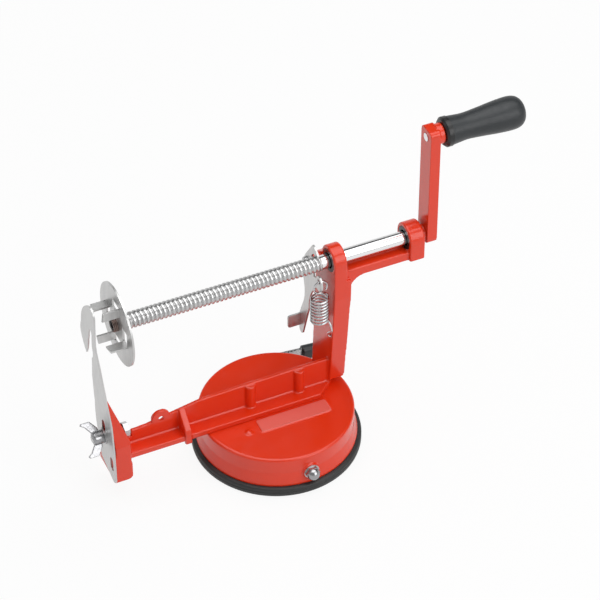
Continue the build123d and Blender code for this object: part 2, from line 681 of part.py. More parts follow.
def crank_arm():
    """Red crank arm with its hub on the tube and a boss for the grip."""
    left = CRANK_X
    right = CRANK_X + CRANK_THICKNESS
    half = CRANK_WIDTH / 2
    top = AXIS_Z + CRANK_RADIUS + CRANK_TOP_REACH
    bottom = AXIS_Z - CRANK_END_ROUND
    arm = box((left, right), (AXIS_Y - half, AXIS_Y + half), (bottom, top))
    ends = arm.edges().filter_by(Axis.X)
    arm = fillet(ends, 3.5)
    arm += rod_x(GRIP_BOSS_RADIUS, right - 1, right + GRIP_BOSS_LENGTH, AXIS_Y, AXIS_Z + CRANK_RADIUS)
    hub_start = REAR_RING_X + REAR_RING_THICKNESS + CRANK_HUB_GAP
    arm += rod_x(CRANK_HUB_RADIUS, hub_start, left + 1, AXIS_Y, AXIS_Z)
    arm -= rod_x(TUBE_RADIUS + SNUG, hub_start - 1, right + 1, AXIS_Y, AXIS_Z)
    boss_end = right + GRIP_BOSS_LENGTH
    return arm - rod_x(GRIP_PIN_RADIUS + SNUG, left - 1, boss_end + 1, AXIS_Y, AXIS_Z + CRANK_RADIUS)


def grip_start_x():
    """Left face of the black collar, just off the crank's boss."""
    return CRANK_X + CRANK_THICKNESS + GRIP_BOSS_LENGTH + 0.3


def grip_pin():
    """Pin riveted in the crank arm, with a head inside the grip's end."""
    z = AXIS_Z + CRANK_RADIUS
    far = grip_start_x() + GRIP_COLLAR_THICKNESS + GRIP_LENGTH - GRIP_CAVITY_DEPTH + 0.3
    pin = rod_x(GRIP_PIN_RADIUS, CRANK_X - 0.4, far + 0.5, AXIS_Y, z)
    return pin + rod_x(GRIP_PIN_HEAD_RADIUS, far, far + GRIP_PIN_HEAD_THICKNESS, AXIS_Y, z)


def grip_collar():
    """Black collar at the crank end of the grip."""
    z = AXIS_Z + CRANK_RADIUS
    x0 = grip_start_x()
    ring = rod_x(GRIP_COLLAR_RADIUS, x0, x0 + GRIP_COLLAR_THICKNESS, AXIS_Y, z)
    near = [edge for edge in ring.edges().filter_by(GeomType.CIRCLE) if abs(edge.center().X - x0) < 0.1]
    ring = chamfer(near, 1.6)
    return ring - rod_x(GRIP_PIN_RADIUS + RUNNING, x0 - 1, x0 + GRIP_COLLAR_THICKNESS + 1, AXIS_Y, z)


def crank_grip():
    """Waisted grip that turns on the pin, hollow at its end for the pin's head."""
    z = AXIS_Z + CRANK_RADIUS
    x0 = grip_start_x() + GRIP_COLLAR_THICKNESS
    x1 = x0 + GRIP_LENGTH
    mouth = x1 - GRIP_CAVITY_DEPTH
    profile = Spline(
        (x0, GRIP_START_RADIUS), (x0 + 14, GRIP_WAIST_RADIUS), (x1 - 22, GRIP_BULB_RADIUS - 0.6),
        (x1 - 11, GRIP_BULB_RADIUS), (x1 - 2.2, GRIP_BULB_RADIUS - 2.6), (x1, GRIP_BULB_RADIUS - 5.6),
    )
    lower = Polyline((x1, GRIP_BULB_RADIUS - 5.6), (x1, 0), (x0, 0), (x0, GRIP_START_RADIUS))
    body = Pos(0, AXIS_Y, z) * revolve(make_face(profile + lower), Axis.X, 360)
    body -= rod_x(GRIP_PIN_RADIUS + RUNNING, x0 - 1, mouth + 1, AXIS_Y, z)
    return body - rod_x(GRIP_PIN_HEAD_RADIUS + CLEAR, mouth, x1 + 1, AXIS_Y, z)


# --- Blade and clamp -----------------------------------------------------

def blade_blank():
    """Sheet that stands on the block, leans forward above it and is upright at its head."""
    foot = BLOCK_FACE_X - BLADE_THICKNESS / 2
    head = foot - BLADE_REACH
    stations = [
        (foot, 5.0), (foot, BLADE_BEND_Z),
        (head, AXIS_Z - BLADE_HEAD_DROP), (head, AXIS_Z + BLADE_HEAD_RISE + 5),
    ]
    sections = []
    for x, z in stations:
        level = Plane(origin=(x, AXIS_Y, z), x_dir=(0, 1, 0), z_dir=(0, 0, 1))
        sections.append(level * Rectangle(BLADE_BLANK_WIDTH, BLADE_THICKNESS))
    return loft(sections, ruled=True)


def spiral_blade():
    """Spiral cutting plate: a slit head on a neck, and a slotted foot.

    The slit's closed end is round the shaft's axis, so that a skewer passes through it.
    """
    top = BLADE_HEAD_RISE
    end = SLIT_END_RADIUS
    outline = [
        Line(from_bolt(-19.5, -29.5), from_bolt(-19, -1.5)),
        Line(from_bolt(-19, -1.5), from_axis(-13.6, -56.5)),
        Line(from_axis(-13.6, -56.5), from_axis(-11.2, -27.6)),
        ThreePointArc(from_axis(-11.2, -27.6), from_axis(-9.6, -17.4), from_axis(-7.7, -6.7)),
        Line(from_axis(-7.7, -6.7), from_axis(-9.5, top - 8)),
        ThreePointArc(from_axis(-9.5, top - 8), from_axis(-7.9, top - 2), from_axis(-2.2, top)),
        ThreePointArc(from_axis(-2.2, top), from_axis(12.5, top - 12), from_axis(18.5, -3.7)),
        ThreePointArc(from_axis(18.5, -3.7), from_axis(21.1, -20.2), from_axis(16.0, -33.6)),
        Line(from_axis(16.0, -33.6), from_axis(12.4, -27.6)),
        ThreePointArc(from_axis(12.4, -27.6), from_axis(6.6, -14.6), from_axis(end, 0)),
        ThreePointArc(from_axis(end, 0), from_axis(0, end), from_axis(-end, 0)),
        Line(from_axis(-end, 0), from_axis(-1.4, -14.6)),
        ThreePointArc(from_axis(-1.4, -14.6), from_axis(-0.3, -23.0), from_axis(3.5, -28.6)),
        Line(from_axis(3.5, -28.6), from_axis(11.4, -53.7)),
        Line(from_axis(11.4, -53.7), from_bolt(15.2, 29.9)),
        ThreePointArc(from_bolt(15.2, 29.9), from_bolt(16.5, 14.5), from_bolt(15, -1.5)),
        Line(from_bolt(15, -1.5), from_bolt(8, -27.5)),
        Line(from_bolt(8, -27.5), from_bolt(-13.5, -34.5)),
        ThreePointArc(from_bolt(-13.5, -34.5), from_bolt(-18, -33.5), from_bolt(-19.5, -29.5)),
    ]
    face = make_face(Plane.YZ * Curve(outline))
    plate = blade_blank() & extrude(Pos(BLOCK_FACE_X - 30, 0, 0) * face, amount=30, dir=(1, 0, 0))
    slot_half = BOLT_RADIUS + HOLE_CLEAR
    slot_top = BOLT_Z + BLADE_TRAVEL + HOLE_CLEAR
    left = BLOCK_FACE_X - 5
    right = BLOCK_FACE_X + 1
    plate -= box((left, right), (BOLT_Y - slot_half, BOLT_Y + slot_half), (BOLT_Z, slot_top))
    for z in (BOLT_Z, slot_top):
        plate -= rod_x(slot_half, left, right, BOLT_Y, z)
    key_y = BOLT_Y + KEY_HOLE_Y
    key_z = [BOLT_Z + drop for drop in KEY_HOLE_Z]
    plate -= box((left, right), (key_y - KEY_HOLE_RADIUS, key_y + KEY_HOLE_RADIUS), key_z)
    for z in key_z:
        plate -= rod_x(KEY_HOLE_RADIUS, left, right, key_y, z)
    return plate


def blade_bolt():
    """Hexagon bolt through the block, on which the wing nut runs."""
    back = BLOCK_FACE_X + BLOCK_THICKNESS
    shank = rod_x(BOLT_RADIUS, BOLT_TIP_X, back + 1, BOLT_Y, BOLT_Z)
    tip = [edge for edge in shank.edges().filter_by(GeomType.CIRCLE) if edge.center().X < BOLT_TIP_X + 0.1]
    shank = chamfer(tip, 0.6)
    face = Plane(origin=(back, BOLT_Y, BOLT_Z), x_dir=(0, 0, 1), z_dir=(1, 0, 0))
    hexagon = face * RegularPolygon(BOLT_HEAD_FLATS / math.sqrt(3), 6)
    head = extrude(hexagon, amount=BOLT_HEAD_THICKNESS, dir=(1, 0, 0))
    return shank + head


def clamp_washer():
    """Washer under the wing nut."""
    x1 = BLOCK_FACE_X - BLADE_THICKNESS
    x0 = x1 - CLAMP_WASHER_THICKNESS
    ring = rod_x(CLAMP_WASHER_RADIUS, x0, x1, BOLT_Y, BOLT_Z)
    return ring - rod_x(BOLT_RADIUS + RUNNING, x0 - 1, x1 + 1, BOLT_Y, BOLT_Z)


def wing_nut():
    """Wing nut that clamps the blade."""
    x1 = BLOCK_FACE_X - BLADE_THICKNESS - CLAMP_WASHER_THICKNESS
    x0 = x1 - WING_HUB_LENGTH
    hub = rod_x(WING_HUB_RADIUS, x0, x1, BOLT_Y, BOLT_Z)
    face_edges = [edge for edge in hub.edges().filter_by(GeomType.CIRCLE) if abs(edge.center().X - x0) < 0.1]
    hub = chamfer(face_edges, 1.0)
    wings = Part()
    for side in (1, -1):
        root = side * (WING_HUB_RADIUS - 1.5)
        tip = side * WING_REACH
        outline = Polyline(
            (x1 - 2.0, root, 0), (x0 + 0.5, root, 0), (x0 - WING_FORWARD + 3, tip - side * 3.5, 0),
            (x0 - WING_FORWARD, tip - side * 1.5, 0), (x0 - WING_FORWARD + 0.8, tip, 0),
            (x0 - WING_FORWARD + WING_HEIGHT, tip, 0), (x1 - 2.5, root + side * 3.5, 0), close=True,
        )
        wing = extrude(make_face(outline), amount=WING_THICKNESS / 2, dir=(0, 0, 1), both=True)
        wings += wing
    body = hub + Pos(0, BOLT_Y, BOLT_Z) * Rot(WING_ANGLE, 0, 0) * wings
    return body - rod_x(BOLT_RADIUS + RUNNING, x0 - WING_FORWARD, x1 + 1, BOLT_Y, BOLT_Z)


# --- Thread catch --------------------------------------------------------

def catch_plate():
    """Sheet lever: a hook over the thread, a pivot, a spring ear and a thumb tab."""
    x0 = CATCH_X - CATCH_THICKNESS / 2
    x1 = CATCH_X + CATCH_THICKNESS / 2
    inner = THREAD_CREST + HOOK_CLEAR
    tooth = THREAD_MEAN_RADIUS - THREAD_DEPTH * 0.3 + TOOTH_CLEAR
    outline = [
        Line((12.2, 171), (24.5, 153)),
        ThreePointArc((24.5, 153), (28.0, 142), (27.3, 126)),
        ThreePointArc((27.3, 126), (25.4, 115), (28.4, 102)),
        Line((28.4, 102), (35.0, 86)),
        Line((35.0, 86), (35.0, 71.5)),
        ThreePointArc((35.0, 71.5), (31.5, 68.5), (28.6, 71.5)),
        Line((28.6, 71.5), (18.4, 103)),
        ThreePointArc((18.4, 103), (15.0, 120), (8.5, 131)),
        Line((8.5, 131), (5.0, 135.5)),
        Line((5.0, 135.5), (-1.0, 135.5)),
        ThreePointArc((-1.0, 135.5), (-3.6, 139), (-3.9, 144.5)),
        ThreePointArc((-3.9, 144.5), (0.6, 149), (5.1, 144.5)),
        Line((5.1, 144.5), (9.7, 142.5)),
        Line((9.7, 142.5), (9.7, AXIS_Z)),
        Line((9.7, AXIS_Z), (3.2, AXIS_Z)),
        Line((3.2, AXIS_Z), (3.2, 166.0)),
        ThreePointArc((3.2, 166.0), (8.4, 170.9), (12.2, 171)),
    ]
    face = make_face(Plane.YZ * Curve(outline))
    plate = extrude(Pos(x0, 0, 0) * face, amount=CATCH_THICKNESS, dir=(1, 0, 0))
    gap = rod_x(inner, x0 - 1, x1 + 1, AXIS_Y, AXIS_Z) - tooth_wedge(x0 - 2, x1 + 2, inner)
    plate -= gap
    plate -= rod_x(tooth, x0 - 1, x1 + 1, AXIS_Y, AXIS_Z)
    plate -= rod_x(PIVOT_RADIUS + RUNNING, x0 - 1, x1 + 1, CATCH_PIVOT_Y, CATCH_PIVOT_Z)
    hole_z = RING_LOOP_Z + RING_LOOP_RADIUS + SPRING_HOLE_RADIUS - WIRE_RADIUS - CLEAR - 0.3
    plate -= rod_x(SPRING_HOLE_RADIUS, x0 - 1, x1 + 1, SPRING_HOLE_Y, hole_z)
    tab = box((x0 - TAB_LENGTH, x1), (35.0 - CATCH_THICKNESS, 35.0), TAB_Z)
    tab = fillet([edge for edge in tab.edges().filter_by(Axis.Y) if edge.center().X < x0], 2.0)
    return plate + tab


def tooth_wedge(x0, x1, reach):
    """Sector above the shaft where the catch's tooth enters the thread."""
    far = reach + 2
    side = far * math.tan(math.radians(TOOTH_HALF_ANGLE))
    return prism_x([(AXIS_Y, AXIS_Z), (AXIS_Y + side, AXIS_Z + far), (AXIS_Y - side, AXIS_Z + far)], x0, x1)


def pivot_screw():
    """Shoulder screw that the catch turns on."""
    plate_left = CATCH_X - CATCH_THICKNESS / 2 - CATCH_GAP
    head_left = plate_left - PIVOT_HEAD_THICKNESS
    head = rod_x(PIVOT_HEAD_RADIUS, head_left, plate_left, CATCH_PIVOT_Y, CATCH_PIVOT_Z)
    edges = [edge for edge in head.edges().filter_by(GeomType.CIRCLE)
             if edge.center().X < head_left + PIVOT_HEAD_THICKNESS / 2]
    head = fillet(edges, 1.2)
    slot_z = (CATCH_PIVOT_Z - 0.5, CATCH_PIVOT_Z + 0.5)
    slot_x = (head_left - 1, head_left + 1)
    head -= box(slot_x, (CATCH_PIVOT_Y - 6, CATCH_PIVOT_Y + 6), slot_z)
    return head + rod_x(PIVOT_RADIUS, plate_left - 0.5, POST_X + PIVOT_DEPTH, CATCH_PIVOT_Y, CATCH_PIVOT_Z)


def biarc(start, start_way, end, end_way):
    """Two arcs that leave start and reach end in the given directions."""
    reach = end - start
    together = start_way + end_way
    bend = 2 * (1 - start_way.dot(end_way))
    along = reach.dot(together)
    span = (math.sqrt(along ** 2 + bend * reach.dot(reach)) - along) / bend
    middle = (start + end + (start_way - end_way) * span) * 0.5
    first = TangentArc(start, middle, tangent=start_way)
    return [first, TangentArc(middle, end, tangent=first % 1)]


def spring_path():
    """Route of the spring's wire: anchor tail, coil, then the hanging ring."""
    slope = COIL_PITCH / (2 * math.pi * COIL_RADIUS)
    scale = 1 / math.sqrt(1 + slope ** 2)
    steps = int(COIL_TURNS * 4)
    stations = []
    tail = Vector(POST_X + 2 * WIRE_RADIUS + 1.0, ANCHOR_Y, ANCHOR_Z)
    mouth = Vector(POST_X - 0.4, ANCHOR_Y, ANCHOR_Z)
    knee = Vector(POST_X - 0.4 - ANCHOR_BEND, ANCHOR_Y, ANCHOR_Z + ANCHOR_BEND)
    stations.append((knee, Vector(0, 0, 1)))
    stations.append((Vector(*TAIL_BOW), Vector(0, 0.25, 0.97).normalized()))
    for step in range(steps + 1):
        angle = math.radians(90 * step)
        point = Vector(CATCH_X + COIL_RADIUS * math.cos(angle), COIL_Y + COIL_RADIUS * math.sin(angle),
                       COIL_BOTTOM_Z + COIL_PITCH * step / 4)
        way = Vector(-math.sin(angle) * scale, math.cos(angle) * scale, slope * scale)
        stations.append((point, way))
    for degrees in range(0, int(RING_LOOP_TURN), 90):
        stations.append(ring_station(degrees))
    stations.append(ring_station(RING_LOOP_TURN))
    pieces = [Line(tail, mouth), TangentArc(mouth, knee, tangent=(-1, 0, 0))]
    for (p0, t0), (p1, t1) in zip(stations, stations[1:]):
        pieces += biarc(p0, t0, p1, t1)
    return pieces


def ring_station(degrees):
    """Point and direction on the hanging ring, counted from its bottom by way of its left side."""
    angle = math.radians(degrees)
    point = Vector(RING_LOOP_X - RING_LOOP_RADIUS * math.sin(angle), SPRING_HOLE_Y,
                   RING_LOOP_Z - RING_LOOP_RADIUS * math.cos(angle))
    return point, Vector(-math.cos(angle), 0, math.sin(angle))


def least_gap(pieces, radius):
    """Least gap of the wire to itself, measured on points along its route."""
    points = []
    travelled = 0.0
    for piece in pieces:
        count = max(2, int(piece.length / 0.4))
        for step in range(count):
            points.append((travelled + piece.length * step / count, piece @ (step / count)))
        travelled += piece.length
    least = 1000.0
    for index, (s0, p0) in enumerate(points):
        for s1, p1 in points[index + 1:]:
            if s1 - s0 > 6 * radius:
                least = min(least, (p1 - p0).length - 2 * radius)
    return least


def catch_spring():
    """Tension spring from the catch's ear down to the post."""
    pieces = spring_path()
    print("spring: least gap to itself", round(least_gap(pieces, WIRE_RADIUS), 2))
    path = Wire(pieces)
    start = Plane(origin=path @ 0, z_dir=path % 0)
    wire = sweep(start * Circle(WIRE_RADIUS), path=path)
    plain = math.pi * WIRE_RADIUS ** 2 * path.length
    print("spring: volume over section times length", round(wire.volume / plain, 3))
    return wire


def main():
    """Build and write every node."""
    save("suction_pad", suction_pad())
    save("base_drum", drum())
    save("pull_stem", pull_stem())
    save("cam_axle", cam_axle())
    save("lever_arm", lever_arm())
    save("lever_grip", lever_grip())
    save("axle_nut", axle_nut())
    save("axle_washer", axle_washer())
    save("frame_casting", frame_casting())
    save("frame_screws", frame_screws())
    save("front_bush", bush(POST_X, RING_THICKNESS))
    save("rear_bush", bush(REAR_RING_X, REAR_RING_THICKNESS))
    save("feed_tube", feed_tube())
    save("fork_disc", fork_disc())
    save("crank_arm", crank_arm())
    save("grip_pin", grip_pin())
    save("grip_collar", grip_collar())
    save("crank_grip", crank_grip())
    save("spiral_blade", spiral_blade())
    save("blade_bolt", blade_bolt())
    save("clamp_washer", clamp_washer())
    save("wing_nut", wing_nut())
    save("catch_plate", catch_plate())
    save("catch_pivot_screw", pivot_screw())
    save("catch_spring", catch_spring())


main()
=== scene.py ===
"""Hand cranked spiral cutter on a suction base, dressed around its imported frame."""

import json
import logging
import math
from dataclasses import dataclass, field
from enum import Enum
from typing import Sequence

import bmesh
import bpy
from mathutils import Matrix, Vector
from mathutils.bvhtree import BVHTree

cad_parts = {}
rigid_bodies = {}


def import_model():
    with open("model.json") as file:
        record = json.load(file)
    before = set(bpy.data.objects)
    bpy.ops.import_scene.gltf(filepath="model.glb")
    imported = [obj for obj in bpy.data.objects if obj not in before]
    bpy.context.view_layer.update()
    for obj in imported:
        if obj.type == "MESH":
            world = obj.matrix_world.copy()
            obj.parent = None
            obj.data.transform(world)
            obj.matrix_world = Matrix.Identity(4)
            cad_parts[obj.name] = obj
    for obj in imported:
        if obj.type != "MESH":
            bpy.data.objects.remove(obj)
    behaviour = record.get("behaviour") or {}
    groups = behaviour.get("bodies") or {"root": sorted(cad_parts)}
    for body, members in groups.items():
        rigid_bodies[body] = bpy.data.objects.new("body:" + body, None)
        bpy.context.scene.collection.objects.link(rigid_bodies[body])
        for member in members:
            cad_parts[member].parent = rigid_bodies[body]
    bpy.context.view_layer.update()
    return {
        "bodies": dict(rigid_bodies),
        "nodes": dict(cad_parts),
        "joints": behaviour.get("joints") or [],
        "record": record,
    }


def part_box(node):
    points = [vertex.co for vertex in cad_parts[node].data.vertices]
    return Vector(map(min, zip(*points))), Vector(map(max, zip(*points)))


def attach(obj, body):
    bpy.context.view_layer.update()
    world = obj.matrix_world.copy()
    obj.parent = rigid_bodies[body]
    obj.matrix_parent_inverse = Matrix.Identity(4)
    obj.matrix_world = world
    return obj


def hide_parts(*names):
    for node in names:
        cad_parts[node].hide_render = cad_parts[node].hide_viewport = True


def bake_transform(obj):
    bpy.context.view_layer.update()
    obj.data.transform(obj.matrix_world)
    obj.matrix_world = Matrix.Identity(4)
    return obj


LOG = logging.getLogger("spiral_cutter")
MM = 0.001
SHAFT_Y = 6.0
SHAFT_Z = 157.5
WELD_M = 0.00001
TURN = 2 * math.pi

Point = tuple[float, float, float]
Colour = tuple[float, float, float]


class Travel(Enum):
    """Direction in which a brushed or turned grain runs."""

    ALONG_X = (0.04, 1.0, 1.0)
    ALONG_Z = (1.0, 1.0, 0.04)
    EVEN = (1.0, 1.0, 1.0)


# --- Node helpers ---------------------------------------------------------


class Shading:
    """A material under construction, with short calls for its nodes."""

    def __init__(self, name: str) -> None:
        """Start an empty Principled material.

        Args:
            name: Name of the material.
        """
        self.material = bpy.data.materials.new(name)
        self.material.use_nodes = True
        self.nodes = self.material.node_tree.nodes
        self.links = self.material.node_tree.links
        self.shader = self.nodes["Principled BSDF"]
        self.coords = self.nodes.new("ShaderNodeTexCoord").outputs["Object"]

    def set(self, **sockets: float | Sequence[float]) -> None:
        """Set constant values on the shader's own sockets.

        Args:
            **sockets: Value of each socket, with underscores for the spaces of its name.
        """
        for name, value in sockets.items():
            self.shader.inputs[name.replace("_", " ")].default_value = value

    def stretched(self, travel: Travel) -> bpy.types.NodeSocket:
        """Object coordinates drawn out along a grain.

        Args:
            travel: Grain direction.

        Returns:
            The mapped coordinates.
        """
        mapping = self.nodes.new("ShaderNodeMapping")
        mapping.inputs["Scale"].default_value = travel.value
        self.links.new(self.coords, mapping.inputs["Vector"])
        return mapping.outputs["Vector"]

    def noise(self, cell_mm: float, detail: float = 2.0, travel: Travel = Travel.EVEN) -> bpy.types.NodeSocket:
        """Noise whose cells have a real size.

        Args:
            cell_mm: Size of a cell in millimetres.
            detail: Octaves.
            travel: Grain direction.

        Returns:
            The noise's factor.
        """
        node = self.nodes.new("ShaderNodeTexNoise")
        node.inputs["Scale"].default_value = 1.0 / (cell_mm * MM)
        node.inputs["Detail"].default_value = detail
        self.links.new(self.stretched(travel), node.inputs["Vector"])
        return node.outputs["Fac"]

    def spread(self, value: bpy.types.NodeSocket, low: float, high: float) -> bpy.types.NodeSocket:
        """Map a noise factor onto a range.

        Args:
            value: Factor to map.
            low: Result at the factor's usual low.
            high: Result at its usual high.

        Returns:
            The mapped value.
        """
        node = self.nodes.new("ShaderNodeMapRange")
        node.inputs["From Min"].default_value = 0.3
        node.inputs["From Max"].default_value = 0.7
        node.inputs["To Min"].default_value = low
        node.inputs["To Max"].default_value = high
        self.links.new(value, node.inputs["Value"])
        return node.outputs["Result"]

    def blend(self, amount: bpy.types.NodeSocket, first: Colour, second: Colour) -> bpy.types.NodeSocket:
        """Mix two colours by a factor.

        Args:
            amount: Factor, 0 for the first colour.
            first: First colour.
            second: Second colour.

        Returns:
            The mixed colour.
        """
        node = self.nodes.new("ShaderNodeMix")
        node.data_type = "RGBA"
        node.inputs["A"].default_value = (*first, 1.0)
        node.inputs["B"].default_value = (*second, 1.0)
        self.links.new(amount, node.inputs["Factor"])
        return node.outputs["Result"]

    def relief(self, layers: Sequence[tuple[bpy.types.NodeSocket, float]], edge_mm: float = 0.0) -> None:
        """Stack bump layers on the shader's normal, over softly broken edges.

        Args:
            layers: Pairs of a height and its depth in millimetres.
            edge_mm: Radius to which edges look broken.
        """
        normal = None
        if edge_mm > 0.0:
            bevel = self.nodes.new("ShaderNodeBevel")
            bevel.samples = 4
            bevel.inputs["Radius"].default_value = edge_mm * MM
            normal = bevel.outputs["Normal"]
        for height, depth_mm in layers:
            bump = self.nodes.new("ShaderNodeBump")
            bump.inputs["Strength"].default_value = 1.0
            bump.inputs["Distance"].default_value = depth_mm * MM
            self.links.new(height, bump.inputs["Height"])
            if normal is not None:
                self.links.new(normal, bump.inputs["Normal"])
            normal = bump.outputs["Normal"]
        if normal is not None:
            self.links.new(normal, self.shader.inputs["Normal"])

    def drive(self, socket: str, value: bpy.types.NodeSocket) -> None:
        """Link a varying value to one of the shader's sockets.

        Args:
            socket: Name of the socket.
            value: Value that drives it.
        """
        self.links.new(value, self.shader.inputs[socket])


# --- Finishes -------------------------------------------------------------


@dataclass(frozen=True)
class Enamel:
    """Gloss enamel over a casting, with a faint orange peel."""

    name: str = "red_enamel"
    light: Colour = (0.82, 0.040, 0.006)
    deep: Colour = (0.78, 0.034, 0.005)
    roughness: float = 0.20
    coat: float = 0.12

    def build(self) -> bpy.types.Material:
        """Return the enamel's material."""
        shading = Shading(self.name)
        shading.set(Metallic=0.0, Coat_Weight=self.coat, Coat_Roughness=0.06, IOR=1.5)
        shading.drive("Base Color", shading.blend(shading.noise(18.0, 2.0), self.light, self.deep))
        rough = shading.spread(shading.noise(9.0, 2.0), self.roughness - 0.03, self.roughness + 0.05)
        shading.drive("Roughness", rough)
        shading.relief([(shading.noise(1.3, 1.0), 0.0035)], edge_mm=0.4)
        return shading.material


@dataclass(frozen=True)
class Plating:
    """Bright plating with a faint turned or polished grain."""

    name: str
    light: Colour = (0.90, 0.90, 0.90)
    dark: Colour = (0.72, 0.72, 0.73)
    roughness: float = 0.10
    travel: Travel = Travel.EVEN
    edge_mm: float = 0.2

    def build(self) -> bpy.types.Material:
        """Return the plating's material."""
        shading = Shading(self.name)
        shading.set(Metallic=1.0)
        shading.drive("Base Color", shading.blend(shading.noise(3.0, 3.0, self.travel), self.light, self.dark))
        rough = shading.spread(shading.noise(1.2, 3.0, self.travel), self.roughness * 0.6, self.roughness * 1.6)
        shading.drive("Roughness", rough)
        shading.relief([(shading.noise(0.8, 2.0, self.travel), 0.004)], edge_mm=self.edge_mm)
        return shading.material


@dataclass(frozen=True)
class Sheet:
    """Satin stainless sheet with a fine rolled grain."""

    name: str
    light: Colour = (0.66, 0.66, 0.65)
    dark: Colour = (0.52, 0.52, 0.52)
    roughness: float = 0.34
    travel: Travel = Travel.ALONG_Z

    def build(self) -> bpy.types.Material:
        """Return the sheet's material."""
        shading = Shading(self.name)
        shading.set(Metallic=0.9)
        shading.drive("Base Color", shading.blend(shading.noise(2.5, 4.0, self.travel), self.light, self.dark))
        rough = shading.spread(shading.noise(0.7, 3.0, self.travel), self.roughness - 0.06, self.roughness + 0.1)
        shading.drive("Roughness", rough)
        shading.relief([(shading.noise(0.35, 2.0, self.travel), 0.006)], edge_mm=0.15)
        return shading.material


@dataclass(frozen=True)
class Moulding:
    """Moulded plastic or rubber with a fine texture."""

    name: str
    light: Colour
    dark: Colour
    roughness: float = 0.45
    grain_mm: float = 0.5
    depth_mm: float = 0.01
    edge_mm: float = 0.4

    def build(self) -> bpy.types.Material:
        """Return the moulding's material."""
        shading = Shading(self.name)
        shading.set(Metallic=0.0, IOR=1.48)
        shading.drive("Base Color", shading.blend(shading.noise(6.0, 3.0), self.light, self.dark))
        rough = shading.spread(shading.noise(2.5, 2.0), self.roughness - 0.06, self.roughness + 0.06)
        shading.drive("Roughness", rough)
        shading.relief([(shading.noise(self.grain_mm, 1.0), self.depth_mm)], edge_mm=self.edge_mm)
        return shading.material


def made(recipe: Enamel | Plating | Sheet | Moulding) -> bpy.types.Material:
    """Field whose material is built when the finishes are.

    Args:
        recipe: Finish to build.

    Returns:
        The field of a dataclass.
    """
    return field(default_factory=recipe.build)


@dataclass
class Finishes:
    """Every finish that the cutter wears, built once."""

    enamel: bpy.types.Material = made(Enamel())
    # Painted highlight: a paler pink enamel stands in for the light that the raised pad on the drum's top catches.
    panel: bpy.types.Material = made(Enamel("panel_painted_highlight", (0.80, 0.135, 0.105), (0.78, 0.12, 0.09), 0.42, 0.0))
    stub: bpy.types.Material = made(Plating("dark_steel", (0.30, 0.22, 0.19), (0.16, 0.12, 0.11), 0.36))
    chrome: bpy.types.Material = made(Plating("chrome_plate"))
    nut: bpy.types.Material = made(Plating("nut_chrome", (0.44, 0.44, 0.45), (0.30, 0.30, 0.31), 0.18))
    thread: bpy.types.Material = made(Plating("thread_chrome", (0.60, 0.60, 0.60), (0.48, 0.48, 0.48), 0.27))
    turned: bpy.types.Material = made(Plating("turned_chrome", travel=Travel.ALONG_X, roughness=0.14))
    zinc: bpy.types.Material = made(Plating("zinc_plate", (0.62, 0.62, 0.62), (0.45, 0.45, 0.46), 0.28))
    wire: bpy.types.Material = made(Plating("drawn_wire", (0.72, 0.72, 0.73), (0.5, 0.5, 0.51), 0.2, edge_mm=0.0))
    sheet: bpy.types.Material = made(Sheet("satin_sheet"))
    grip: bpy.types.Material = made(Moulding("grip_charcoal", (0.024, 0.028, 0.031), (0.018, 0.021, 0.024), 0.40))
    rubber: bpy.types.Material = made(Moulding("pad_rubber", (0.028, 0.029, 0.029), (0.019, 0.020, 0.020), 0.50))
    black: bpy.types.Material = made(Moulding("black_nylon", (0.014, 0.014, 0.015), (0.008, 0.008, 0.009), 0.32))


# --- Mesh helpers ---------------------------------------------------------


def put(name: str, mesh: bpy.types.Mesh) -> bpy.types.Object:
    """Link a new object for a mesh.

    Args:
        name: Name of the object.
        mesh: Its mesh.

    Returns:
        The linked object.
    """
    piece = bpy.data.objects.new(name, mesh)
    bpy.context.scene.collection.objects.link(piece)
    return piece


def settle(piece: bpy.types.Object) -> bpy.types.Object:
    """Apply every modifier of a piece to its mesh.

    Args:
        piece: Piece with modifiers.

    Returns:
        The same piece, without modifiers.
    """
    graph = bpy.context.evaluated_depsgraph_get()
    mesh = bpy.data.meshes.new_from_object(piece.evaluated_get(graph))
    piece.modifiers.clear()
    piece.data = mesh
    return piece


def copied(frame: dict, node: str, name: str) -> bpy.types.Object:
    """Copy a node's solid into a new piece, with its seams welded.

    Args:
        frame: The loaded frame.
        node: Node to copy.
        name: Name of the piece.

    Returns:
        The new piece.
    """
    mesh = frame["nodes"][node].data.copy()
    mesh.materials.clear()
    work = bmesh.new()
    work.from_mesh(mesh)
    bmesh.ops.remove_doubles(work, verts=work.verts, dist=WELD_M)
    work.to_mesh(mesh)
    work.free()
    return put(name, mesh)


def flatten_to(piece: bpy.types.Object, solid: bpy.types.Object, near_mm: float, far_mm: float) -> None:
    """Lay the points of a softened piece back on its solid, except where an edge was rounded.

    Args:
        piece: Softened piece.
        solid: Solid that it was made from.
        near_mm: Distance up to which a point goes back wholly.
        far_mm: Distance from which a point stays where it is.
    """
    work = bmesh.new()
    work.from_mesh(solid.data)
    tree = BVHTree.FromBMesh(work)
    for vertex in piece.data.vertices:
        place, _, _, distance = tree.find_nearest(vertex.co)
        share = (distance / MM - near_mm) / (far_mm - near_mm)
        share = max(0.0, min(1.0, share))
        share = share * share * (3.0 - 2.0 * share)
        vertex.co = place.lerp(vertex.co, share)
    work.free()


def snap_reach(voxel_mm: float) -> tuple[float, float]:
    """Distances between which a softened point stops going back to its solid.

    Args:
        voxel_mm: Size of the working grid.

    Returns:
        The near and the far distance in millimetres.
    """
    return 0.08 + 0.12 * voxel_mm, 0.2 + 0.35 * voxel_mm


